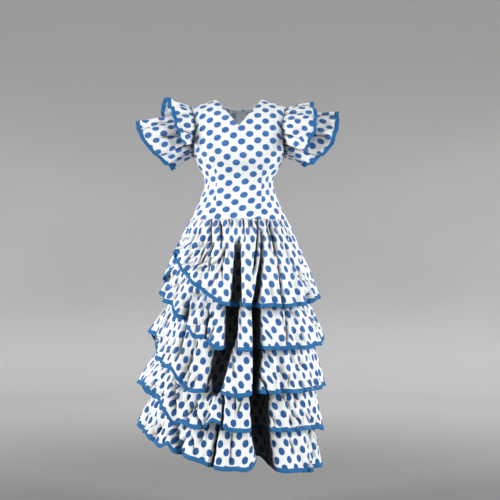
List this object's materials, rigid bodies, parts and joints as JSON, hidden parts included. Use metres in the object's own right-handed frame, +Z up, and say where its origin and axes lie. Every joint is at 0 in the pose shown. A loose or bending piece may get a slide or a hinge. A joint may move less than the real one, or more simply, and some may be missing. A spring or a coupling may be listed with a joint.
{
  "type": "flamenco dress",
  "caption": "Fitted V-neck dress with a dropped waist, bound flounces that rise to one side and double frills at each shoulder, hollow as when worn.",
  "frame": {"origin": "middle of the shoulder line, between the outer ends of the shoulder seams and level with them to about 15 mm, where the wearer's shoulders hold the dress up", "axes": "+Z up along the dress from hem to shoulders, -Y out of the front, +X towards the wearer's left arm"},
  "size_m": [0.6748, 0.5892, 1.2296],
  "materials": {
    "cotton": "crisp white cotton with a common blue dot print",
    "binding": "matt blue bias binding",
    "zip_tape": "white woven tape with a white chain",
    "nickel": "satin nickel"
  },
  "bodies": {
    "dress": {"bodice_back_left": "cotton", "bodice_back_right": "cotton", "bodice_front": "cotton", "flounce_1": "cotton", "flounce_2": "cotton", "flounce_3": "cotton", "flounce_4": "cotton", "flounce_5": "cotton", "flounce_binding_1": "binding", "flounce_binding_2": "binding", "flounce_binding_3": "binding", "flounce_binding_4": "binding", "flounce_binding_5": "binding", "shoulder_frill_left": "cotton", "shoulder_frill_left_binding": "binding", "shoulder_frill_right": "cotton", "shoulder_frill_right_binding": "binding", "skirt_back": "cotton", "skirt_front": "cotton", "sleeve_left": "cotton", "sleeve_left_binding": "binding", "sleeve_right": "cotton", "sleeve_right_binding": "binding", "zip_chain": "zip_tape", "zip_slider": "nickel"},
    "pull": {"zip_pull": "nickel"}
  },
  "joints": [
    {"name": "pull_swing", "type": "hinge", "parent": "dress", "child": "pull", "pos_m": [0, 0.07964, -0.03734], "axis": [1, 0, 0], "range_deg": [0, 150]}
  ]
}
